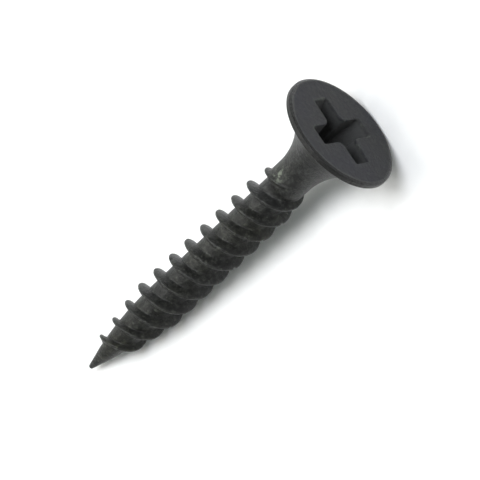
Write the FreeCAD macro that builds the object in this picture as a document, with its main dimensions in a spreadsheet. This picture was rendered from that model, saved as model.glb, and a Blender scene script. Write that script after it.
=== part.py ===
"""Bugle-head screw with a twin-start fine thread, lying at rest on the surface z = 0.

Every region is drawn upright in its own body: point at the origin, screw axis along the body's +Z.
The bodies' common Placement then lays the screw down, touching the surface with its rim and its thread.
Lengths are in millimetres and angles in degrees.
"""
import FreeCAD, Part
import math
import os
import Sketcher
from FreeCAD import Placement, Rotation, Vector

doc = FreeCAD.newDocument("bugle_head_screw")

SIZES = {
    # overall
    "screw_length": 25.1,
    # head
    "head_radius": 4.15,
    "rim_height": 0.42,
    "flare_radius": 4.6,
    "face_edge_round": 0.10,
    "rim_edge_round": 0.08,
    # cross recess, No. 2
    "arm_reach": 2.48,
    "arm_width": 1.34,
    "arm_reach_deep": 1.15,
    "arm_width_deep": 1.20,
    "arm_depth": 2.70,
    "corner_reach": 1.16,
    "corner_reach_deep": 0.80,
    "recess_depth": 3.00,
    "recess_turn": 72.0,
    # shank
    "neck_radius": 1.31,
    "neck_start": 19.95,
    "neck_end": 21.2,
    "core_radius": 1.11,
    "core_step_start": 19.0,
    "core_step_end": 19.6,
    "core_straight_start": 7.2,
    # point
    "point_end_radius": 0.13,
    "point_end_round": 0.11,
    "point_length": 1.5,
    "point_radius": 0.525,
    # thread
    "crest_radius": 1.78,
    "crest_round": 0.13,
    "flank_angle": 22.0,
    "thread_lead": 3.1,
    "point_crest_station": 2.17,
    "point_crest_radius": 1.085,
    "point_taper_turns": 1.5,
    "second_start_delay": 0.25,
    "full_turns": 3.8,
    "run_in_turns": 0.13,
    "run_in_angle": 37.0,
    "run_in_depth": 0.62,
    "run_out_turns": 0.4,
    "run_out_angle": 16.5,
    "profile_depth": 0.95,
    # how it lies
    "rest_roll": -71.0,
}

DERIVED = {
    "flare_centre": "neck_radius + flare_radius",
    "flare_start": "screw_length - rim_height"
                   " - sqrt(flare_radius ^ 2 - (flare_centre - head_radius) ^ 2)",
    "flare_at_neck_end": "flare_centre - sqrt(flare_radius ^ 2 - (neck_end - flare_start) ^ 2)",
    "ogive_length": "core_straight_start - point_length",
    "ogive_rise": "core_radius - point_radius",
    "ogive_radius": "(ogive_length ^ 2 + ogive_rise ^ 2) / (2 * ogive_rise)",
    "full_station": "point_crest_station + point_taper_turns * thread_lead",
    "taper_length": "full_station - point_crest_station",
    "taper_angle": "atan((crest_radius - point_crest_radius) / taper_length) / 1 deg",
    "run_out_station": "full_station + full_turns * thread_lead",
    "touch_station": "full_station - thread_lead * (0.5 + rest_roll / 360)",
    "touch_radius": "crest_radius - (crest_radius - point_crest_radius)"
                    " * (full_station - touch_station) / taper_length",
    "lean": "atan((head_radius - touch_radius)"
            " / (screw_length - rim_height + rim_edge_round - touch_station)) / 1 deg",
}

sheet = doc.addObject("Spreadsheet::Sheet", "sizes")
for row, (alias, size) in enumerate(list(SIZES.items()) + list(DERIVED.items()), start=1):
    sheet.set(f"A{row}", alias)
    sheet.set(f"B{row}", str(size) if alias in SIZES else "=" + size)
    sheet.setAlias(f"B{row}", alias)
next_row = row + 1
for alias in ("rest_x", "rest_z"):
    sheet.set(f"A{next_row}", alias)
    sheet.set(f"B{next_row}", "0")
    sheet.setAlias(f"B{next_row}", alias)
    next_row += 1
doc.recompute()


def bound(expression):
    """The expression with each sheet alias in it written as sizes.alias."""
    words = []
    word = ""
    for character in expression + " ":
        if character.isalnum() or character == "_":
            word += character
            continue
        known = word in SIZES or word in DERIVED or word in ("rest_x", "rest_z")
        words.append("sizes." + word if known else word)
        words.append(character)
        word = ""
    return "".join(words).strip()


def number(expression):
    """The expression's value now, used only to draw a sketch near its final shape."""
    value = sheet.evalExpression(bound(expression).replace("sizes.", ""))
    return float(getattr(value, "Value", value))


def origin_plane(body, role):
    for feature in body.Origin.OriginFeatures:
        if feature.Role == role:
            return feature


def sketch_in(body, label, role, corners, arcs=(), shift="0", turn="0"):
    """A closed sketch through the corners, with every corner bound to the sheet.

    corners holds (x, y) expressions in order. arcs holds (side, radius, bulge) for each curved side,
    where side counts from 0 and bulge is +1 for a side that turns left and -1 for one that turns right.
    shift moves the sketch along the screw's axis and turn turns it round the axis.
    """
    sketch = body.newObject("Sketcher::SketchObject", label)
    sketch.AttachmentSupport = [(origin_plane(body, role), "")]
    sketch.MapMode = "FlatFace"
    upright = role == "XZ_Plane"
    shift_axis, turn_axis = ("y", Vector(0, 1, 0)) if upright else ("z", Vector(0, 0, 1))
    sketch.AttachmentOffset = Placement(Vector(0, 0, 0), Rotation(turn_axis, 1.0))
    sketch.setExpression("AttachmentOffset.Base." + shift_axis, bound(shift))
    sketch.setExpression("AttachmentOffset.Rotation.Angle", bound(turn))
    points = [Vector(number(x), number(y), 0) for x, y in corners]
    curved = {side: (radius, bulge) for side, radius, bulge in arcs}
    ends = []
    for side, start in enumerate(points):
        finish = points[(side + 1) % len(points)]
        if side in curved:
            radius_text, bulge = curved[side]
            radius = number(radius_text)
            chord = finish - start
            sagitta_side = Vector(-chord.y, chord.x, 0).normalize() * bulge
            centre = (start + finish) * 0.5
            centre += sagitta_side * math.sqrt(max(radius ** 2 - chord.Length ** 2 / 4, 0))
            first, last = (start, finish) if bulge > 0 else (finish, start)
            angles = [math.atan2(p.y - centre.y, p.x - centre.x) for p in (first, last)]
            if angles[1] < angles[0]:
                angles[1] += 2 * math.pi
            circle = Part.Circle(centre, Vector(0, 0, 1), radius)
            sketch.addGeometry(Part.ArcOfCircle(circle, angles[0], angles[1]), False)
            ends.append((1, 2) if bulge > 0 else (2, 1))
        else:
            sketch.addGeometry(Part.LineSegment(start, finish), False)
            ends.append((1, 2))
    for side in range(len(points)):
        after = (side + 1) % len(points)
        sketch.addConstraint(Sketcher.Constraint("Coincident", side, ends[side][1], after, ends[after][0]))
    for side, (x, y) in enumerate(corners):
        for kind, text in (("DistanceX", x), ("DistanceY", y)):
            index = sketch.addConstraint(
                Sketcher.Constraint(kind, -1, 1, side, ends[side][0], number(text)))
            sketch.setExpression(f"Constraints[{index}]", bound(text))
    for side, (radius_text, bulge) in curved.items():
        index = sketch.addConstraint(Sketcher.Constraint("Radius", side, number(radius_text)))
        sketch.setExpression(f"Constraints[{index}]", bound(radius_text))
    doc.recompute()
    return sketch


def turned(body, label, kind, sketch):
    """A full revolution of the sketch round the screw's axis, adding (Revolution) or cutting (Groove)."""
    feature = body.newObject("PartDesign::" + kind, label)
    feature.Profile = sketch
    feature.ReferenceAxis = (sketch, ["V_Axis"])
    feature.Angle = 360
    doc.recompute()
    return feature


def new_body(label):
    body = doc.addObject("PartDesign::Body", label)
    doc.recompute()
    return body


# Outlines of the shank in the half-plane through the axis: x is the radius, y is the station from the point.
POINT_OUTLINE = [
    ("0", "0"),
    ("point_end_radius", "0"),
    ("point_radius", "point_length"),
    ("0", "point_length"),
]
CORE_OUTLINE = [
    ("0", "point_length"),
    ("point_radius", "point_length"),
    ("core_radius", "core_straight_start"),
    ("core_radius", "core_step_start"),
    ("neck_radius", "core_step_end"),
    ("neck_radius", "neck_start"),
    ("0", "neck_start"),
]
CORE_ARCS = [(1, "ogive_radius", 1)]
NECK_OUTLINE = [
    ("0", "neck_start"),
    ("neck_radius", "neck_start"),
    ("neck_radius", "flare_start"),
    ("flare_at_neck_end", "neck_end"),
    ("0", "neck_end"),
]
NECK_ARCS = [(2, "flare_radius", -1)]
HEAD_OUTLINE = [
    ("0", "neck_end"),
    ("flare_at_neck_end", "neck_end"),
    ("head_radius", "screw_length - rim_height"),
    ("head_radius", "screw_length"),
    ("0", "screw_length"),
]
HEAD_ARCS = [(1, "flare_radius", -1)]
# The whole shank in one outline, used to trim the foot of each thread ridge to the shank's surface.
SHANK_OUTLINE = POINT_OUTLINE[:2] + CORE_OUTLINE[1:5] + NECK_OUTLINE[2:]
SHANK_ARCS = [(2, "ogive_radius", 1), (6, "flare_radius", -1)]
# Half the section of a ridge: the round crest meets the straight flank at the tangent point.
CREST_TANGENT = "crest_round * cos(flank_angle * 1 deg)"
CREST_DROP = "crest_round * (1 - sin(flank_angle * 1 deg))"


def ridge_section(body, label, crest, depth, station, turn):
    """The ridge's section in a half-plane through the axis, centred on the station."""
    foot_half = f"({CREST_TANGENT} + ({depth} - {CREST_DROP}) * tan(flank_angle * 1 deg))"
    corners = [
        (f"{crest} - {depth}", "0"),
        (f"{crest} - {CREST_DROP}", f"{foot_half} - {CREST_TANGENT}"),
        (f"{crest} - {CREST_DROP}", f"{foot_half} + {CREST_TANGENT}"),
        (f"{crest} - {depth}", f"2 * {foot_half}"),
    ]
    return sketch_in(body, label, "XZ_Plane", corners, [(1, "crest_round", 1)],
                     shift=f"{station} - {foot_half}", turn=turn)


def sweep_ridge(body, label, section, turns, angle, toward_point):
    """Sweep the section along a right-hand helix, opening by the cone angle as it goes."""
    helix = body.newObject("PartDesign::AdditiveHelix", label)
    helix.Profile = section
    helix.ReferenceAxis = (section, ["V_Axis"])
    helix.Mode = "pitch-height-angle"
    helix.setExpression("Pitch", bound("thread_lead"))
    helix.setExpression("Height", bound(f"{turns} * thread_lead"))
    helix.setExpression("Angle", bound(angle))
    helix.Reversed = toward_point
    doc.recompute()
    return helix


def edges_at(shape, radius, station):
    """Names of the circular edges of this radius at this station."""
    names = []
    for index, edge in enumerate(shape.Edges, start=1):
        curve = edge.Curve
        if not isinstance(curve, Part.Circle):
            continue
        if abs(curve.Radius - radius) < 1e-4 and abs(curve.Center.z - station) < 1e-4:
            names.append(f"Edge{index}")
    return names


def rounded(body, label, edge_radius, edge_station, radius):
    """Round the circular edge that has this radius at this station."""
    base = body.Tip
    fillet = body.newObject("PartDesign::Fillet", label)
    fillet.Base = (base, edges_at(base.Shape, number(edge_radius), number(edge_station)))
    fillet.setExpression("Radius", bound(radius))
    doc.recompute()
    return fillet


def make_needle_point():
    body = new_body("needle_point")
    turned(body, "point_turned", "Revolution",
           sketch_in(body, "point_outline", "XZ_Plane", POINT_OUTLINE))
    rounded(body, "point_round", "point_end_radius", "0", "point_end_round")
    return body


def make_threaded_core():
    body = new_body("threaded_core")
    turned(body, "core_turned", "Revolution",
           sketch_in(body, "core_outline", "XZ_Plane", CORE_OUTLINE, CORE_ARCS))
    return body


def make_neck():
    body = new_body("neck")
    turned(body, "neck_turned", "Revolution",
           sketch_in(body, "neck_outline", "XZ_Plane", NECK_OUTLINE, NECK_ARCS))
    return body


def loft_recess(body, label, top, bottom):
    """Cut straight-sided walls from the top sketch to the bottom sketch."""
    loft = body.newObject("PartDesign::SubtractiveLoft", label)
    loft.Profile = top
    loft.Sections = [bottom]
    loft.Ruled = True
    doc.recompute()
    return loft


def rectangle(reach, half_width):
    """Corners of a rectangle centred on the axis, reach along x and half_width along y."""
    return [
        (f"-({reach})", f"-({half_width})"),
        (reach, f"-({half_width})"),
        (reach, half_width),
        (f"-({reach})", half_width),
    ]


def make_bugle_head():
    body = new_body("bugle_head")
    turned(body, "head_turned", "Revolution",
           sketch_in(body, "head_outline", "XZ_Plane", HEAD_OUTLINE, HEAD_ARCS))
    rounded(body, "face_round", "head_radius", "screw_length", "face_edge_round")
    rounded(body, "rim_round", "head_radius", "screw_length - rim_height", "rim_edge_round")
    walls = [
        ("arm_pair_a", "0", "arm_reach", "arm_width / 2", "arm_reach_deep", "arm_width_deep / 2"),
        ("arm_pair_b", "90", "arm_reach", "arm_width / 2", "arm_reach_deep", "arm_width_deep / 2"),
        ("corner_faces", "45", "corner_reach", "corner_reach", "corner_reach_deep", "corner_reach_deep"),
    ]
    for label, turn, reach, half, reach_deep, half_deep in walls:
        angle = f"recess_turn + {turn}"
        top = sketch_in(body, label + "_top", "XY_Plane", rectangle(reach, half),
                        shift="screw_length", turn=angle)
        bottom = sketch_in(body, label + "_bottom", "XY_Plane", rectangle(reach_deep, half_deep),
                           shift="screw_length - arm_depth", turn=angle)
        loft_recess(body, label, top, bottom)
    cone = [
        ("0", "screw_length - recess_depth"),
        ("arm_reach_deep * 0.95", "screw_length - arm_depth"),
        ("0", "screw_length - arm_depth"),
    ]
    turned(body, "recess_bottom", "Groove", sketch_in(body, "recess_cone", "XZ_Plane", cone))
    return body


def make_thread_start(label, start_turn, delay):
    """One helical ridge: it rises near the point, runs along the core and sinks into the neck.

    start_turn is where it reaches full height, round the axis. delay is how many turns later than
    the first start it rises.
    """
    body = new_body(label)
    taper_turns = f"(point_taper_turns - {delay})"
    first_station = f"point_crest_station + {delay} * thread_lead"
    first_crest = (f"(crest_radius - {taper_turns} * thread_lead"
                   " * (crest_radius - point_crest_radius) / taper_length)")
    at_point = f"{start_turn} - {taper_turns} * 360"
    at_neck = f"{start_turn} + full_turns * 360"
    full = ridge_section(body, label + "_full_section", "crest_radius", "profile_depth",
                         "full_station", start_turn)
    sweep_ridge(body, label + "_full", full, "full_turns", "0", False)
    sweep_ridge(body, label + "_taper", full, taper_turns, "-taper_angle", True)
    rise = ridge_section(body, label + "_rise_section", first_crest, "run_in_depth",
                         first_station, at_point)
    sweep_ridge(body, label + "_rise", rise, "run_in_turns", "-run_in_angle", True)
    fade = ridge_section(body, label + "_fade_section", "crest_radius", "profile_depth",
                         "run_out_station", at_neck)
    sweep_ridge(body, label + "_fade", fade, "run_out_turns", "-run_out_angle", False)
    turned(body, label + "_foot", "Groove",
           sketch_in(body, label + "_shank", "XZ_Plane", SHANK_OUTLINE, SHANK_ARCS))
    return body


bodies = [make_needle_point(), make_threaded_core(), make_neck(), make_bugle_head()]
for start, label in enumerate(("thread_start_a", "thread_start_b")):
    bodies.append(make_thread_start(label, str(180 * start), f"{start} * second_start_delay"))

LAID_DOWN = ("placement(vector(rest_x; 0; rest_z); "
             "rotation(vector(0; 1; 0); 90 - lean) * rotation(vector(0; 0; 1); rest_roll))")
for body in bodies:
    body.setExpression("Placement", bound(LAID_DOWN))
doc.recompute()

# Move the origin to the middle of the footprint, on the surface the screw lies on.
whole = Part.makeCompound([body.Shape for body in bodies])
box = whole.optimalBoundingBox(False, False)
sheet.set(f"B{next_row - 2}", str(round(-(box.XMin + box.XMax) / 2, 5)))
sheet.set(f"B{next_row - 1}", str(round(-box.ZMin, 5)))
doc.recompute()

for thing in doc.Objects:
    if "Invalid" in thing.State or "Error" in thing.State:
        raise RuntimeError(f"{thing.Label} did not rebuild: {thing.State}")
os.makedirs("parts", exist_ok=True)
for body in bodies:
    shape = body.Shape
    if shape.isNull() or not shape.isValid() or len(shape.Solids) != 1:
        raise RuntimeError(f"{body.Label} is not one sound solid")
    box = shape.optimalBoundingBox(False, False)
    print(f"{body.Label:15s} volume {shape.Volume:8.3f}  "
          f"x {box.XMin:7.3f} {box.XMax:7.3f}  y {box.YMin:6.3f} {box.YMax:6.3f}  "
          f"z {box.ZMin:6.3f} {box.ZMax:6.3f}")
    shape.exportStep(f"parts/{body.Label}.step")
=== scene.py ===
"""Looks for the bugle-head screw: a black phosphated steel screw lying on a white studio floor.

The screw's skin is built here as one smooth surface, then split into pieces that match the CAD nodes.
Lengths inside the shape functions are in millimetres, measured on the upright screw: station is the
distance from the point along the axis, and azimuth is the angle round the axis.
"""

import math

import bpy
import numpy as np
from mathutils import Matrix, Vector, noise


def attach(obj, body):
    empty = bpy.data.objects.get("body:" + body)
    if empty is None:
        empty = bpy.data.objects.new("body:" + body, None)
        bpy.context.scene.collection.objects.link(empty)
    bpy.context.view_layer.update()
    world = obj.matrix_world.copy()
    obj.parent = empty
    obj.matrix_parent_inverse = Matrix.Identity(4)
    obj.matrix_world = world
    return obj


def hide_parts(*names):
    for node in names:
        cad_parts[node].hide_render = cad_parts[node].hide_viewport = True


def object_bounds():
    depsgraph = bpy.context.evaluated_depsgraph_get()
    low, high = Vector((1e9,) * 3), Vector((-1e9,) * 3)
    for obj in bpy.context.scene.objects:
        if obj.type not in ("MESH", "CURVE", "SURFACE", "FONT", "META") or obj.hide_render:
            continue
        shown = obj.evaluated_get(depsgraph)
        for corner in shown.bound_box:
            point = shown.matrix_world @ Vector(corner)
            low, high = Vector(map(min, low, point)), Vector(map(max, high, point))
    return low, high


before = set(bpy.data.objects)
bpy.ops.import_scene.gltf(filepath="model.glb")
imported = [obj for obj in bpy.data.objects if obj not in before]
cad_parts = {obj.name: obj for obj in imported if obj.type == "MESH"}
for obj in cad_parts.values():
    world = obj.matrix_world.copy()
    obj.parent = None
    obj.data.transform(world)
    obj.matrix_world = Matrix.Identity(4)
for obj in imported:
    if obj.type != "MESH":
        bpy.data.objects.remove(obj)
CAD_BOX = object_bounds()

MM = 0.001
FULL_TURN = 2 * math.pi
TINY = 1e-9

# Sizes shared with the CAD model, but for the head's radius: it is a hair under that model's 4.15,
# so that this model stays inside its box
LENGTH = 25.1
HEAD_RADIUS = 4.147
RIM_HEIGHT = 0.42
FLARE_RADIUS = 4.6
ARM_REACH = 2.48
ARM_HALF = 0.67
ARM_REACH_DEEP = 1.15
ARM_HALF_DEEP = 0.60
ARM_DEPTH = 2.70
CORNER_REACH = 1.16
CORNER_REACH_DEEP = 0.80
RECESS_DEPTH = 3.00
RECESS_TURN = math.radians(72.0)
NECK_RADIUS = 1.31
NECK_START = 19.95
NECK_END = 21.2
CORE_RADIUS = 1.11
CORE_STEP_START = 19.0
CORE_STEP_END = 19.6
CORE_STRAIGHT_START = 7.2
POINT_END_RADIUS = 0.13
POINT_END_ROUND = 0.11
POINT_LENGTH = 1.5
POINT_RADIUS = 0.525
CREST_RADIUS = 1.78
CREST_ROUND = 0.13
FLANK = math.radians(22.0)
LEAD = 3.1
PITCH = LEAD / 2
POINT_CREST_STATION = 2.17
POINT_CREST_RADIUS = 1.085
SECOND_START_DELAY = 0.25
FULL_STATION = POINT_CREST_STATION + 1.5 * LEAD
RUN_OUT_STATION = FULL_STATION + 3.8 * LEAD
RUN_OUT_SLOPE = math.tan(math.radians(16.5))
RIM_ROUND = 0.08
REST_ROLL = math.radians(-71.0)

FLARE_CENTRE = NECK_RADIUS + FLARE_RADIUS
FLARE_END = LENGTH - RIM_HEIGHT
FLARE_START = FLARE_END - math.sqrt(FLARE_RADIUS ** 2 - (FLARE_CENTRE - HEAD_RADIUS) ** 2)
TAPER_SLOPE = (CREST_RADIUS - POINT_CREST_RADIUS) / (FULL_STATION - POINT_CREST_STATION)
TOUCH_STATION = FULL_STATION - LEAD * (0.5 + REST_ROLL / FULL_TURN)
TOUCH_RADIUS = CREST_RADIUS - TAPER_SLOPE * (FULL_STATION - TOUCH_STATION)
LEAN = math.atan((HEAD_RADIUS - TOUCH_RADIUS) / (FLARE_END + RIM_ROUND - TOUCH_STATION))
LAY_DOWN = np.array(Matrix.Rotation(math.pi / 2 - LEAN, 3, "Y") @ Matrix.Rotation(REST_ROLL, 3, "Z"))

# Shape detail that only shows close up
FOOT_FILLET = 0.09
BLEND = 0.05
RUN_IN_SLOPE = 1.6
RUN_IN_LEAD = 0.12
EDGE_ROUND_IN = 0.34
EDGE_ROUND_DOWN = 0.15
EDGE_ROUND_ANGLE = math.radians(50.0)
EDGE_START_ANGLE = math.radians(20.0)
EDGE_BEVEL = 0.04
LAND_ROUND = 0.04
MOUTH_ROUND = 0.09
ARM_SHARPNESS = 18.0

# How the surface is divided between the pieces, and how thick their shells are; near the tip the
# inside of a shell keeps at least SHELL_INSIDE of the radius
SHELL = 0.15
SHELL_INSIDE = 0.35
RIDGE_HALF = 0.44
RIDGE_SPANS = {"thread_start_a": (1.90, 19.75), "thread_start_b": (2.65, 19.75)}

# Marks of thread rolling and handling: how deep each is, and the size of its pattern
ROLLED_DEPTH = 0.014
ROLLED_SCALE = 0.9
FINE_DEPTH = 0.010
FINE_SCALE = 3.1
CREST_DEPTH = 0.035
CREST_SCALE = 1.3
NICK_DEPTH = 0.35
NICK_SCALE = 2.6
NICK_THRESHOLD = 0.42

# How far above the core the crest marks, and the bare steel, begin and are at their full amount
MARKS_LIFT = (0.40, 0.62)
BARE_LIFT = (0.46, 0.66)

# Where the marks fade: past the tip, before the head's joint and round the point of contact
MARKS_TIP = (0.2, 1.2)
MARKS_HEAD = (NECK_END - 0.4, NECK_END - 0.05)
MARKS_TOUCH = 0.5

# How much bare steel shows on the crests and round the flake
CREST_BARE = 0.03
FLAKE_BARE = 0.9
FLAKE_BARE_SIZE = 0.45

# The small rolled-up flake of steel where a ridge dies out on the neck
FLAKE_STATION = 20.25
FLAKE_AZIMUTH = math.radians(236.0)
FLAKE_SIZE = 0.08
FLAKE_HEIGHT = 0.06

# Mesh density. The columns are distances across a ridge from its crest. The floor steps are shares
# of the way from the recess wall to the axis, and the wall's last ring is WALL_FOOT above the floor
STEPS_ROUND = 120
HEAD_STEPS_ROUND = 480
RIDGE_COLUMNS = [0.0, 0.03, 0.06, 0.09, 0.12, 0.17, 0.22, 0.27, 0.31, 0.35, 0.39, RIDGE_HALF,
                 0.53, 0.64, PITCH / 2]
FLOOR_STEPS = [0.04, 0.12, 0.3, 0.5, 0.7, 0.85]
WALL_FOOT = 0.08


# ---------------------------------------------------------------- shape of the shank

def smooth_min(a, b, k):
    """The smaller of a and b, rounded over about k where they meet."""
    mix = np.clip(0.5 + 0.5 * (b - a) / k, 0, 1)
    return b + (a - b) * mix - k * mix * (1 - mix)


def smooth_max(a, b, k):
    """The larger of a and b, rounded over about k where they meet."""
    return -smooth_min(-a, -b, k)


def smooth_step(value, low, high):
    """0 below low, 1 above high, and a smooth rise between them."""
    t = np.clip((value - low) / (high - low), 0, 1)
    return t * t * (3 - 2 * t)


def point_cone(station):
    """Radius of the plain point, with its rounded end."""
    slope = (POINT_RADIUS - POINT_END_RADIUS) / POINT_LENGTH
    cone = POINT_END_RADIUS + slope * station
    round_centre = POINT_END_RADIUS + slope * POINT_END_ROUND - POINT_END_ROUND * math.hypot(1, slope)
    tangent = POINT_END_ROUND * (1 - slope / math.hypot(1, slope))
    back = np.clip(POINT_END_ROUND - station, 0, POINT_END_ROUND)
    end = round_centre + np.sqrt(POINT_END_ROUND ** 2 - back ** 2)
    return np.where(station < tangent, end, cone)


def core_radius(station):
    """Radius of the shank without its thread."""
    s = np.asarray(station, float)
    length = CORE_STRAIGHT_START - POINT_LENGTH
    rise = CORE_RADIUS - POINT_RADIUS
    ogive = (length ** 2 + rise ** 2) / (2 * rise)
    run = np.clip(CORE_STRAIGHT_START - s, 0, length)
    shank = CORE_RADIUS - ogive + np.sqrt(ogive ** 2 - run ** 2)
    shank = shank + (NECK_RADIUS - CORE_RADIUS) * smooth_step(s, CORE_STEP_START, CORE_STEP_END)
    reach = np.clip(s - FLARE_START, 0, FLARE_RADIUS * 0.999)
    flare = FLARE_RADIUS - np.sqrt(FLARE_RADIUS ** 2 - reach ** 2)
    return np.where(s < POINT_LENGTH, point_cone(s), shank) + flare


def crest_radius(station, second):
    """Radius of a ridge's crest where its centre is at this station; second is 1 on the second start."""
    s = np.asarray(station, float)
    first = POINT_CREST_STATION + SECOND_START_DELAY * LEAD * second
    taper = POINT_CREST_RADIUS + TAPER_SLOPE * (s - POINT_CREST_STATION)
    fade = CREST_RADIUS - RUN_OUT_SLOPE * (s - RUN_OUT_STATION)
    lead_in = (POINT_CREST_RADIUS + TAPER_SLOPE * (first - POINT_CREST_STATION)
               + RUN_IN_SLOPE * (s - first + RUN_IN_LEAD))
    full = smooth_min(taper, CREST_RADIUS, BLEND)
    return smooth_min(smooth_min(full, fade, BLEND), lead_in, BLEND)


def ridge_radius(across, crest):
    """Radius of the ridge's own surface at a distance across it from its crest."""
    x = np.abs(across)
    tangent = CREST_ROUND * math.cos(FLANK)
    drop = CREST_ROUND * (1 - math.sin(FLANK))
    cap = np.sqrt(np.clip(CREST_ROUND ** 2 - x ** 2, 0, None)) - CREST_ROUND
    flank = -drop - (x - tangent) / math.tan(FLANK)
    return crest + np.where(x < tangent, cap, flank)


def skin_radius(station, azimuth):
    """Radius of the finished shank, thread included."""
    s = np.asarray(station, float)
    centre_line = FULL_STATION + LEAD * np.asarray(azimuth, float) / FULL_TURN
    ridge_number = np.floor((s - centre_line) / PITCH + 0.5)
    across = s - centre_line - ridge_number * PITCH
    ridge = ridge_radius(across, crest_radius(s - across, ridge_number % 2))
    return smooth_max(core_radius(s), ridge, FOOT_FILLET)


def ring_points(station, azimuth, radius):
    """Points on the upright screw, from arrays of their station, azimuth and radius."""
    return np.stack([radius * np.cos(azimuth), radius * np.sin(azimuth), station], axis=-1)


# ---------------------------------------------------------------- mesh of the shank

class Skin:
    """One welded surface, whose faces carry the name of the node that they stand for."""

    def __init__(self):
        self.points = []
        self.index = {}
        self.faces = []
        self.labels = []

    def vertex(self, point):
        """The number of a point; points at the same place share one."""
        key = tuple(round(c, 5) for c in point)
        if key not in self.index:
            self.index[key] = len(self.points)
            self.points.append(point)
        return self.index[key]

    def grid(self, rows, label_for, closed):
        """Faces between neighbouring rows of points; label_for(row, column) names each one's node."""
        ids = [[self.vertex(tuple(p)) for p in row] for row in rows]
        for r in range(len(ids) - 1):
            columns = len(ids[r]) if closed else len(ids[r]) - 1
            for c in range(columns):
                d = (c + 1) % len(ids[r])
                corners = [ids[r][c], ids[r][d], ids[r + 1][d], ids[r + 1][c]]
                face = [v for i, v in enumerate(corners) if v != corners[i - 1]]
                if len(set(face)) == len(face) and len(face) >= 3:
                    self.faces.append(face)
                    self.labels.append(label_for(r, c))


def vertex_normals(points, faces):
    """Each point's unit normal, from its faces weighted by their area."""
    normals = np.zeros_like(points)
    for size in (3, 4):
        group = np.array([f for f in faces if len(f) == size], int).reshape(-1, size)
        if not len(group):
            continue
        corner = points[group]
        if size == 3:
            cross = np.cross(corner[:, 1] - corner[:, 0], corner[:, 2] - corner[:, 0])
        else:
            cross = np.cross(corner[:, 2] - corner[:, 0], corner[:, 3] - corner[:, 1])
        for k in range(size):
            np.add.at(normals, group[:, k], cross)
    length = np.linalg.norm(normals, axis=1, keepdims=True)
    return normals / np.maximum(length, 1e-12)


def add_plain_rings(skin, stations, label, capped):
    """Rings round the axis; capped closes the first one with a point on the axis."""
    ring = np.arange(STEPS_ROUND) * FULL_TURN / STEPS_ROUND
    rows = []
    if capped:
        rows.append(ring_points(np.full(STEPS_ROUND, stations[0]), ring, np.zeros(STEPS_ROUND)))
    for station in stations:
        level = np.full(STEPS_ROUND, station)
        radius = skin_radius(level, ring) if station >= NECK_START else core_radius(level)
        rows.append(ring_points(level, ring, radius))
    skin.grid(rows, lambda r, c: label, True)


def add_thread_strips(skin):
    """Two strips wound side by side along the threaded length, each with a ridge along its middle."""
    across = np.array([-x for x in RIDGE_COLUMNS[:0:-1]] + RIDGE_COLUMNS)
    middles = 0.5 * (across[1:] + across[:-1])
    first = math.floor((POINT_LENGTH - PITCH / 2 - FULL_STATION) / LEAD * STEPS_ROUND) - 1
    last = math.ceil((NECK_START + PITCH / 2 - FULL_STATION) / LEAD * STEPS_ROUND) + 1
    step = FULL_TURN / STEPS_ROUND
    for start, name in enumerate(RIDGE_SPANS):
        turn_steps = start * STEPS_ROUND // 2
        # From the head end to the point, so that the faces look outward like those of the plain rings
        turns = range(last, first - 1, -1)
        centres = [FULL_STATION + LEAD * k / STEPS_ROUND for k in turns]
        rows = []
        for k, centre in zip(turns, centres):
            station = np.clip(centre + across, POINT_LENGTH, NECK_START)
            azimuth = (k + turn_steps) % STEPS_ROUND * step
            rows.append(ring_points(station, np.full(len(across), azimuth),
                                    skin_radius(station, azimuth)))
        low, high = RIDGE_SPANS[name]

        def label_for(r, c, centres=centres, name=name, low=low, high=high):
            on_ridge = abs(middles[c]) < RIDGE_HALF and low < centres[r] < high
            return name if on_ridge else "threaded_core"

        skin.grid(rows, label_for, False)


def build_shank_skin():
    """The whole shank from the tip to the head: plain point, threaded length and neck."""
    skin = Skin()
    rounded_end = POINT_END_ROUND * (1 - np.cos(np.linspace(0.0, math.radians(75.0), 7)))
    add_plain_rings(skin, np.concatenate([rounded_end, np.linspace(0.12, POINT_LENGTH, 22)]),
                    "needle_point", True)
    add_thread_strips(skin)
    add_plain_rings(skin, np.linspace(NECK_START, NECK_END, 21), "neck", False)
    return skin


def bump_noise(point, scale, offset):
    """Smooth noise between -1 and 1 at a point; the offset sets one pattern apart from the others."""
    return noise.noise(point * scale + offset)


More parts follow.
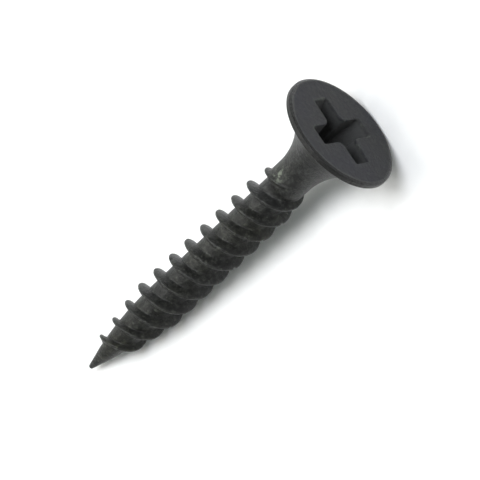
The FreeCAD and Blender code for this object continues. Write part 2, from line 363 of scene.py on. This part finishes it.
def worn_skin(points):
    """The skin's points moved by the marks of thread rolling and handling, and how bare each one is."""
    radius = np.hypot(points[:, 0], points[:, 1])
    station = points[:, 2]
    lift = radius - core_radius(station)
    on_crest = smooth_step(lift, *MARKS_LIFT)
    shift = np.zeros(len(points))
    for i, p in enumerate(points):
        place = Vector(p)
        rolled = 0.5 + 0.5 * bump_noise(place, ROLLED_SCALE, Vector((0.0, 0.0, 0.0)))
        fine = 0.5 + 0.5 * bump_noise(place, FINE_SCALE, Vector((7.0, 3.0, 5.0)))
        low = 0.5 + 0.5 * bump_noise(place, CREST_SCALE, Vector((2.0, 9.0, 4.0)))
        nick = max(0.0, bump_noise(place, NICK_SCALE, Vector((5.0, 1.0, 8.0))) - NICK_THRESHOLD)
        shift[i] = -ROLLED_DEPTH * rolled - FINE_DEPTH * fine
        shift[i] -= on_crest[i] * (CREST_DEPTH * low + NICK_DEPTH * nick)
    # No marks on the very tip, at the head's joint or where the crest touches the floor
    past_tip = smooth_step(station, *MARKS_TIP)
    near_head = smooth_step(station, *MARKS_HEAD)
    touching = np.exp(-((station - TOUCH_STATION) / MARKS_TOUCH) ** 2) * on_crest
    shift *= past_tip * (1 - near_head) * (1 - touching)
    azimuth = np.arctan2(points[:, 1], points[:, 0])
    along = station - FLAKE_STATION
    arc = NECK_RADIUS * ((azimuth - FLAKE_AZIMUTH + math.pi) % FULL_TURN - math.pi)
    shift += FLAKE_HEIGHT * np.exp(-(along / FLAKE_SIZE) ** 2 - (arc / FLAKE_SIZE) ** 2)
    scale = np.where(radius > TINY, 1 + shift / np.maximum(radius, TINY), 1)
    moved = points * np.stack([scale, scale, np.ones_like(scale)], axis=1)
    bare = smooth_step(lift, *BARE_LIFT) * CREST_BARE
    bare += FLAKE_BARE * np.exp(-(along / FLAKE_BARE_SIZE) ** 2 - (arc / FLAKE_BARE_SIZE) ** 2)
    return moved, np.clip(bare, 0, 1)


def solid_object(name, vertices, faces, normals, flat_from, attributes):
    """A mesh object laid down on the floor; faces from number flat_from on are shaded flat."""
    mesh = bpy.data.meshes.new(name)
    mesh.from_pydata(((vertices @ LAY_DOWN.T) * MM + SHIFT).tolist(), [], faces)
    mesh.update()
    mesh.shade_smooth()
    turned = normals @ LAY_DOWN.T
    custom = [None] * len(mesh.loops)
    for polygon in mesh.polygons:
        flat = polygon.index >= flat_from
        for loop in polygon.loop_indices:
            vertex = mesh.loops[loop].vertex_index
            custom[loop] = tuple(polygon.normal) if flat else tuple(turned[vertex])
    mesh.normals_split_custom_set(custom)
    for label, values in attributes.items():
        layer = mesh.attributes.new(label, "FLOAT", "POINT")
        layer.data.foreach_set("value", values.astype(np.float32))
    obj = bpy.data.objects.new(name, mesh)
    bpy.context.scene.collection.objects.link(obj)
    return obj


def shell_object(name, points, faces, normals, bare):
    """A closed shell: the given skin, a second one just inside it, and walls between their edges."""
    used = sorted({v for f in faces for v in f})
    local = {v: i for i, v in enumerate(used)}
    outer = points[used]
    radius = np.hypot(outer[:, 0], outer[:, 1])
    shrink = np.maximum(radius - SHELL, SHELL_INSIDE * radius) / np.maximum(radius, TINY)
    inner = outer * np.stack([shrink, shrink, np.ones_like(shrink)], axis=1)
    n = len(outer)
    top = [[local[v] for v in f] for f in faces]
    bottom = [[v + n for v in reversed(f)] for f in top]
    edges = {(v, f[(i + 1) % len(f)]) for f in top for i, v in enumerate(f)}
    walls = [[b, a, a + n, b + n] for a, b in sorted(edges) if (b, a) not in edges]
    bare_here = np.concatenate([bare[used], bare[used]])
    return solid_object(name, np.vstack([outer, inner]), top + bottom + walls,
                        np.vstack([normals[used], normals[used]]), len(top),
                        {"bare": bare_here})


# ---------------------------------------------------------------- shape of the head

def recess_outline(azimuth, grow, depth):
    """Distance from the axis to the recess wall, at a depth, with the whole outline grown outward."""
    t = np.clip(depth / ARM_DEPTH, 0, 1)
    reach = ARM_REACH + (ARM_REACH_DEEP - ARM_REACH) * t + grow
    half = ARM_HALF + (ARM_HALF_DEEP - ARM_HALF) * t + grow
    corner = CORNER_REACH + (CORNER_REACH_DEEP - CORNER_REACH) * t + grow
    quarter = FULL_TURN / 4
    side = np.abs((azimuth - RECESS_TURN + quarter / 2) % quarter - quarter / 2)
    sharp = ARM_SHARPNESS
    end_wall = np.cos(side) / reach
    side_wall = np.maximum(np.sin(side), 1e-6) / half
    arm = (end_wall ** sharp + side_wall ** sharp) ** (-1 / sharp)
    corner_wall = corner / np.cos(quarter / 2 - side)
    return (arm ** sharp + corner_wall ** sharp) ** (1 / sharp)


def head_rings():
    """Rings of points from the neck, over the rim and the face, down into the recess.

    Each is (part of the head, points).
    """
    ring = np.arange(HEAD_STEPS_ROUND) * FULL_TURN / HEAD_STEPS_ROUND
    last = math.asin((FLARE_END - FLARE_START) / FLARE_RADIUS)
    first = math.asin((NECK_END - FLARE_START) / FLARE_RADIUS)
    outline = []
    for angle in np.linspace(first, last - LAND_ROUND / FLARE_RADIUS, 34):
        outline.append(("flare", FLARE_CENTRE - FLARE_RADIUS * math.cos(angle),
                        FLARE_START + FLARE_RADIUS * math.sin(angle)))
    for t in np.linspace(0.2, 1, 4):
        outline.append(("land", HEAD_RADIUS - LAND_ROUND * (1 - t) ** 2 * math.sin(last),
                        FLARE_END + LAND_ROUND * t))
    for angle in np.linspace(0, EDGE_ROUND_ANGLE, 7):
        outline.append(("edge" if angle > EDGE_START_ANGLE else "land",
                        HEAD_RADIUS - EDGE_ROUND_IN * (1 - math.cos(angle)),
                        LENGTH - EDGE_ROUND_DOWN * (1 - math.sin(angle))))
    inner_radius = outline[-1][1] - EDGE_BEVEL
    outline.append(("edge", inner_radius, LENGTH))
    level = np.ones(HEAD_STEPS_ROUND)
    rings = [(part, ring_points(level * s, ring, level * r)) for part, r, s in outline]
    mouth = recess_outline(ring, MOUTH_ROUND, 0.0)
    for t in np.linspace(0, 1, 14)[1:]:
        radius = inner_radius + (mouth - inner_radius) * t
        rings.append(("face" if t < 1 else "mouth", ring_points(level * LENGTH, ring, radius)))
    for angle in np.linspace(0, math.pi / 2, 6)[1:]:
        depth = MOUTH_ROUND * (1 - math.cos(angle))
        wall = recess_outline(ring, MOUTH_ROUND * (1 - math.sin(angle)), depth)
        rings.append(("mouth", ring_points(level * (LENGTH - depth), ring, wall)))
    for depth in np.linspace(MOUTH_ROUND, ARM_DEPTH - WALL_FOOT, 16)[1:]:
        rings.append(("wall", ring_points(level * (LENGTH - depth), ring,
                                          recess_outline(ring, 0.0, depth))))
    floor_outline = recess_outline(ring, 0.0, ARM_DEPTH)
    for t in FLOOR_STEPS:
        depth = ARM_DEPTH + (RECESS_DEPTH - ARM_DEPTH) * t
        rings.append(("floor", ring_points(level * (LENGTH - depth), ring, floor_outline * (1 - t))))
    return rings


# How bare the steel is on each part of the head, and the parts that each mask of its material covers
HEAD_BARE = {"mouth": 0.12}
HEAD_MASKS = {
    "land": ("land",),
    "edge": ("edge",),
    "face": ("face", "mouth"),
    "recess": ("wall", "floor"),
}


def build_head(rings):
    """The head's object: its rings joined, the recess closed at the bottom and the flare at the neck."""
    n = HEAD_STEPS_ROUND
    points = np.vstack([ring for part, ring in rings])
    faces = []
    for r in range(len(rings) - 1):
        for c in range(n):
            d = (c + 1) % n
            faces.append([r * n + c, r * n + d, (r + 1) * n + d, (r + 1) * n + c])
    normals = vertex_normals(points, faces)
    normals[:n] = flare_normals(points[:n])
    recess_bottom = [(len(rings) - 1) * n + c for c in range(n)]
    underside = list(reversed(range(n)))
    attributes = {"bare": np.repeat([HEAD_BARE.get(part, 0.0) for part, ring in rings], n)}
    for mask, parts in HEAD_MASKS.items():
        attributes[mask] = np.repeat([float(part in parts) for part, ring in rings], n)
    return solid_object("head_piece", points, faces + [recess_bottom, underside], normals,
                        len(faces) + 1, attributes)


def flare_normals(points):
    """Outward normals of the flare where it meets the neck."""
    rise = NECK_END - FLARE_START
    slope = rise / math.sqrt(FLARE_RADIUS ** 2 - rise ** 2)
    radius = np.hypot(points[:, 0], points[:, 1])
    out = np.stack([points[:, 0] / radius, points[:, 1] / radius, np.full(len(points), -slope)], axis=1)
    return out / np.linalg.norm(out, axis=1, keepdims=True)


# ---------------------------------------------------------------- materials

def new_node(nodes, kind, **settings):
    node = nodes.new(kind)
    for key, value in settings.items():
        setattr(node, key, value)
    return node


def noise_node(nodes, links, coordinates, scale, detail, rough=0.55):
    """A noise texture's value; the scale is in patches per metre."""
    node = new_node(nodes, "ShaderNodeTexNoise")
    node.inputs["Scale"].default_value = scale
    node.inputs["Detail"].default_value = detail
    node.inputs["Roughness"].default_value = rough
    links.new(coordinates, node.inputs["Vector"])
    return node.outputs["Fac"]


def ramp_node(nodes, links, factor, stops):
    """A colour that depends on the factor; each stop is (position, colour)."""
    node = new_node(nodes, "ShaderNodeValToRGB")
    ramp = node.color_ramp
    while len(ramp.elements) < len(stops):
        ramp.elements.new(0.5)
    for element, (position, colour) in zip(ramp.elements, stops):
        element.position = position
        element.color = (*colour, 1.0)
    links.new(factor, node.inputs["Fac"])
    return node.outputs["Color"]


def grey(value):
    return (value, value, value)


def mix_colour(nodes, links, factor, a, b, blend="MIX"):
    """Colour a, changed to b, or blended with it, by the factor, a socket or a plain number."""
    node = new_node(nodes, "ShaderNodeMix", data_type="RGBA", blend_type=blend)
    if isinstance(factor, float):
        node.inputs["Factor"].default_value = factor
    else:
        links.new(factor, node.inputs["Factor"])
    links.new(a, node.inputs["A"])
    links.new(b, node.inputs["B"])
    return node.outputs["Result"]


def calculate(nodes, links, operation, a, b):
    """A math node; a and b are sockets or plain numbers."""
    node = new_node(nodes, "ShaderNodeMath", operation=operation)
    for socket, value in zip(node.inputs, (a, b)):
        if isinstance(value, float):
            socket.default_value = value
        else:
            links.new(value, socket)
    return node.outputs[0]


def plain_colour(nodes, colour):
    node = new_node(nodes, "ShaderNodeRGB")
    node.outputs[0].default_value = (*colour, 1.0)
    return node.outputs[0]


def mask_node(nodes, name):
    """The value of a mask that the mesh carries; it is 0 on a mesh without it."""
    return new_node(nodes, "ShaderNodeAttribute", attribute_name=name).outputs["Fac"]


def start_material(name):
    """A new material: its nodes, its links, its shader and the object coordinates."""
    material = bpy.data.materials.new(name)
    material.use_nodes = True
    nodes, links = material.node_tree.nodes, material.node_tree.links
    place = new_node(nodes, "ShaderNodeTexCoord").outputs["Object"]
    return material, nodes, links, nodes["Principled BSDF"], place


# Phosphate colours: dark to pale mottle, cool to warm tint, and the flecks
MOTTLE = [(0.30, (0.004, 0.0041, 0.0037)), (0.50, (0.0130, 0.0130, 0.0118)),
          (0.72, (0.046, 0.047, 0.041))]
TINT = [(0.35, (0.92, 0.94, 1.04)), (0.65, (1.04, 1.06, 0.90))]
FLECKS = [(0.64, grey(0.0)), (0.72, grey(0.6))]
FLECK_COLOUR = (0.075, 0.080, 0.066)

# Bare steel shows in patches where the mesh's bare mask allows it
BARE_PATCHES = [(0.53, grey(0.05)), (0.60, grey(1.0))]
BARE_COLOUR = (0.16, 0.18, 0.14)

# The parts of the head, which are smoother or duller than the thread; some of their colours are painted
# light and shade
# The face's own smoother tone, with a blue tint that is a painted cool reflection
FACE_COLOUR_AND_REFLECTION = (0.0155, 0.0155, 0.0225)
FACE_SHARE = 0.7
# The recess is paler than the coating: painted light reaching into the recess
RECESS_PAINTED_LIGHT_COLOUR = (0.047, 0.048, 0.048)
# The rim's land is darker than the coating: painted shade, where it faces the shaded floor
LAND_SHADE_COLOUR = (0.006, 0.006, 0.0055)
# The rim's rounded edge is near black: painted shade
EDGE_SHADE_COLOUR = (0.003, 0.003, 0.003)

# Roughness of the grained coating, and of each part of the head
GRAIN_ROUGHNESS = [(0.3, grey(0.36)), (0.7, grey(0.54))]
HEAD_ROUGHNESS = {"face": 0.66, "land": 0.42, "edge": 0.26, "recess": 0.90}

COATING_IOR = 1.41
RELIEF_STRENGTH = 0.7
RELIEF_HEIGHT = 0.00006
MOTTLE_RELIEF = 1.6


def phosphate_material():
    """Black phosphate on steel: dark, matte and fine grained, rubbed lighter where edges catch."""
    material, nodes, links, shader, place = start_material("black_phosphate_steel")
    cloud = noise_node(nodes, links, place, scale=260.0, detail=3.0)
    mottle = noise_node(nodes, links, place, scale=3200.0, detail=4.0, rough=0.7)
    grain = noise_node(nodes, links, place, scale=9000.0, detail=3.0, rough=0.7)
    speck = noise_node(nodes, links, place, scale=3800.0, detail=2.0, rough=0.5)
    masks = {name: mask_node(nodes, name) for name in ("bare", "land", "edge", "face", "recess")}

    tint = ramp_node(nodes, links, cloud, TINT)
    coating = mix_colour(nodes, links, 1.0, ramp_node(nodes, links, mottle, MOTTLE), tint, "MULTIPLY")
    flecks = ramp_node(nodes, links, speck, FLECKS)
    colour = mix_colour(nodes, links, flecks, coating, plain_colour(nodes, FLECK_COLOUR))
    # The face's colour: partly its own tone, partly a painted cool reflection in its blue tint
    face = mix_colour(nodes, links, 1.0, plain_colour(nodes, FACE_COLOUR_AND_REFLECTION), tint, "MULTIPLY")
    face_share = calculate(nodes, links, "MULTIPLY", masks["face"], FACE_SHARE)
    colour = mix_colour(nodes, links, face_share, colour, face)
    # Painted light: the recess walls and floor made paler than the coating
    colour = mix_colour(nodes, links, masks["recess"], colour, plain_colour(nodes, RECESS_PAINTED_LIGHT_COLOUR))
    patches = ramp_node(nodes, links, speck, BARE_PATCHES)
    rubbed = calculate(nodes, links, "MULTIPLY", masks["bare"], patches)
    colour = mix_colour(nodes, links, rubbed, colour, plain_colour(nodes, BARE_COLOUR))
    # Painted shade: the rim's land darkened
    colour = mix_colour(nodes, links, masks["land"], colour, plain_colour(nodes, LAND_SHADE_COLOUR))
    # Painted shade: the rim's rounded edge darkened
    colour = mix_colour(nodes, links, masks["edge"], colour, plain_colour(nodes, EDGE_SHADE_COLOUR))
    links.new(colour, shader.inputs["Base Color"])

    roughness = ramp_node(nodes, links, grain, GRAIN_ROUGHNESS)
    for mask, value in HEAD_ROUGHNESS.items():
        roughness = mix_colour(nodes, links, masks[mask], roughness, plain_colour(nodes, grey(value)))
    links.new(roughness, shader.inputs["Roughness"])
    shader.inputs["Metallic"].default_value = 0.0
    shader.inputs["IOR"].default_value = COATING_IOR

    coarse = calculate(nodes, links, "MULTIPLY", mottle, MOTTLE_RELIEF)
    bump = new_node(nodes, "ShaderNodeBump")
    bump.inputs["Strength"].default_value = RELIEF_STRENGTH
    bump.inputs["Distance"].default_value = RELIEF_HEIGHT
    links.new(calculate(nodes, links, "ADD", coarse, grain), bump.inputs["Height"])
    links.new(bump.outputs["Normal"], shader.inputs["Normal"])
    return material


FLOOR_REFLECTANCE = 0.88
FLOOR_UNEVENNESS = 0.015
FLOOR_ROUGHNESS = 0.9
FLOOR_SPECULAR = 0.2


def floor_material():
    """Pale matte paper, very slightly uneven."""
    material, nodes, links, shader, place = start_material("white_sweep")
    fibre = noise_node(nodes, links, place, scale=900.0, detail=3.0)
    tone = ramp_node(nodes, links, fibre, [(0.3, grey(FLOOR_REFLECTANCE - FLOOR_UNEVENNESS)),
                                           (0.7, grey(FLOOR_REFLECTANCE + FLOOR_UNEVENNESS))])
    links.new(tone, shader.inputs["Base Color"])
    shader.inputs["Roughness"].default_value = FLOOR_ROUGHNESS
    shader.inputs["Specular IOR Level"].default_value = FLOOR_SPECULAR
    return material


# ---------------------------------------------------------------- build the screw

skin = build_shank_skin()
drawn_points = np.array(skin.points)
rings = head_rings()

# Shift that brings the laid-down skin onto the CAD model's box
laid = np.vstack([drawn_points] + [ring for part, ring in rings]) @ LAY_DOWN.T * MM
cad_low, cad_high = CAD_BOX
SHIFT = np.array([(cad_low[i] + cad_high[i] - laid[:, i].min() - laid[:, i].max()) / 2
                  for i in range(3)])

skin_points, skin_bare = worn_skin(drawn_points)
skin_normals = vertex_normals(skin_points, skin.faces)
at_head = np.abs(drawn_points[:, 2] - NECK_END) < 1e-6
skin_normals[at_head] = flare_normals(skin_points[at_head])

phosphate = phosphate_material()
PIECES = {
    "point_piece": "needle_point",
    "core_piece": "threaded_core",
    "neck_piece": "neck",
    "thread_a_piece": "thread_start_a",
    "thread_b_piece": "thread_start_b",
}
for piece_name, node_name in PIECES.items():
    chosen = [f for f, label in zip(skin.faces, skin.labels) if label == node_name]
    piece = shell_object(piece_name, skin_points, chosen, skin_normals, skin_bare)
    piece.data.materials.append(phosphate)
    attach(piece, "root")
    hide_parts(node_name)
head = build_head(rings)
head.data.materials.append(phosphate)
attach(head, "root")
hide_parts("bugle_head")


# ---------------------------------------------------------------- floor, light and camera

FLOOR_RADIUS = 3.0
FLOOR_SIDES = 96
floor_angles = [FULL_TURN * i / FLOOR_SIDES for i in range(FLOOR_SIDES)]
floor_mesh = bpy.data.meshes.new("floor")
floor_mesh.from_pydata([(FLOOR_RADIUS * math.cos(a), FLOOR_RADIUS * math.sin(a), cad_low[2])
                        for a in floor_angles], [], [list(range(FLOOR_SIDES))])
floor = bpy.data.objects.new("floor", floor_mesh)
bpy.context.scene.collection.objects.link(floor)
floor.data.materials.append(floor_material())


def direction(azimuth, elevation):
    """Unit vector towards an azimuth (0 is -Y, 90 is +X) and an elevation, both in degrees."""
    a, e = math.radians(azimuth), math.radians(elevation)
    return Vector((math.sin(a) * math.cos(e), -math.cos(a) * math.cos(e), math.sin(e)))


def softbox(name, azimuth, elevation, brightness, spread, colour=(1, 1, 1)):
    """A far light, spread over an angle, that adds this brightness to the open floor."""
    toward = direction(azimuth, elevation)
    light = bpy.data.lights.new(name, "SUN")
    light.energy = brightness * math.pi / (FLOOR_REFLECTANCE * toward.z)
    light.angle = math.radians(spread)
    light.color = colour
    obj = bpy.data.objects.new(name, light)
    obj.rotation_mode = "QUATERNION"
    obj.rotation_quaternion = toward.to_track_quat("Z", "Y")
    bpy.context.scene.collection.objects.link(obj)


# Overhead light from several directions, and weaker light from the sides and from low down
WARM = (1.0, 0.99, 0.94)
COOL = (0.93, 0.96, 1.0)
GREENISH = (0.91, 1.0, 0.96)
softbox("overhead_front", 123.0, 74.0, 0.54, 30.0, COOL)
softbox("overhead_middle", 225.0, 82.0, 0.16, 30.0)
softbox("overhead_back", 212.0, 67.0, 0.21, 25.0, WARM)
softbox("overhead_point", 257.0, 65.0, 0.14, 25.0, WARM)
softbox("back_middle", 225.0, 34.0, 0.10, 12.0, WARM)
softbox("back_low", 190.0, 20.0, 0.045, 25.0, GREENISH)
softbox("front_side", 325.0, 45.0, 0.04, 25.0, GREENISH)
softbox("front_low", 95.0, 22.0, 0.045, 25.0)

AMBIENT = 0.03
BACKDROP_BRIGHTNESS = 1.15
BACKDROP_TOP = 5.0
BACKDROP_FADE = 5.0


def studio_world():
    """A dim room with a pale backdrop round the horizon, as bright as the open floor."""
    world = bpy.data.worlds.new("studio")
    world.use_nodes = True
    nodes, links = world.node_tree.nodes, world.node_tree.links
    place = new_node(nodes, "ShaderNodeTexCoord").outputs["Generated"]
    height = new_node(nodes, "ShaderNodeSeparateXYZ")
    links.new(place, height.inputs[0])
    top = math.sin(math.radians(BACKDROP_TOP))
    fade = math.sin(math.radians(BACKDROP_TOP + BACKDROP_FADE))
    dim = [AMBIENT * c for c in GREENISH]
    light = ramp_node(nodes, links, height.outputs["Z"], [(top, grey(1.0)), (fade, dim)])
    links.new(light, nodes["Background"].inputs["Color"])
    nodes["Background"].inputs["Strength"].default_value = BACKDROP_BRIGHTNESS
    return world


bpy.context.scene.world = studio_world()

CAMERA_AZIMUTH = 54.67
CAMERA_ELEVATION = 60.98
CAMERA_ROLL = math.radians(91.48)
CAMERA_DISTANCE = 1.2
FRAME_WIDTH = 0.03004
AIM_STATION = 14.345
AIM_SIDE = 0.60

camera_data = bpy.data.cameras.new("camera")
camera_data.sensor_width = 36.0
camera_data.lens = camera_data.sensor_width * CAMERA_DISTANCE / FRAME_WIDTH
camera_data.clip_start = 0.01
camera_data.clip_end = 10.0
camera = bpy.data.objects.new("camera", camera_data)
bpy.context.scene.collection.objects.link(camera)
toward_camera = direction(CAMERA_AZIMUTH, CAMERA_ELEVATION)
level_up = (Vector((0, 0, 1)) - toward_camera * toward_camera.z).normalized()
level_right = level_up.cross(toward_camera)
up = level_up * math.cos(CAMERA_ROLL) + level_right * math.sin(CAMERA_ROLL)
right = up.cross(toward_camera)
axis = Vector(LAY_DOWN[:, 2])
aim = Vector(SHIFT) + axis * AIM_STATION * MM + axis.cross(toward_camera).normalized() * AIM_SIDE * MM
turn = Matrix((right, up, toward_camera)).transposed()
camera.matrix_world = Matrix.Translation(aim + toward_camera * CAMERA_DISTANCE) @ turn.to_4x4()
bpy.context.scene.camera = camera
bpy.context.scene.view_settings.view_transform = "Standard"
bpy.context.scene.view_settings.look = "None"
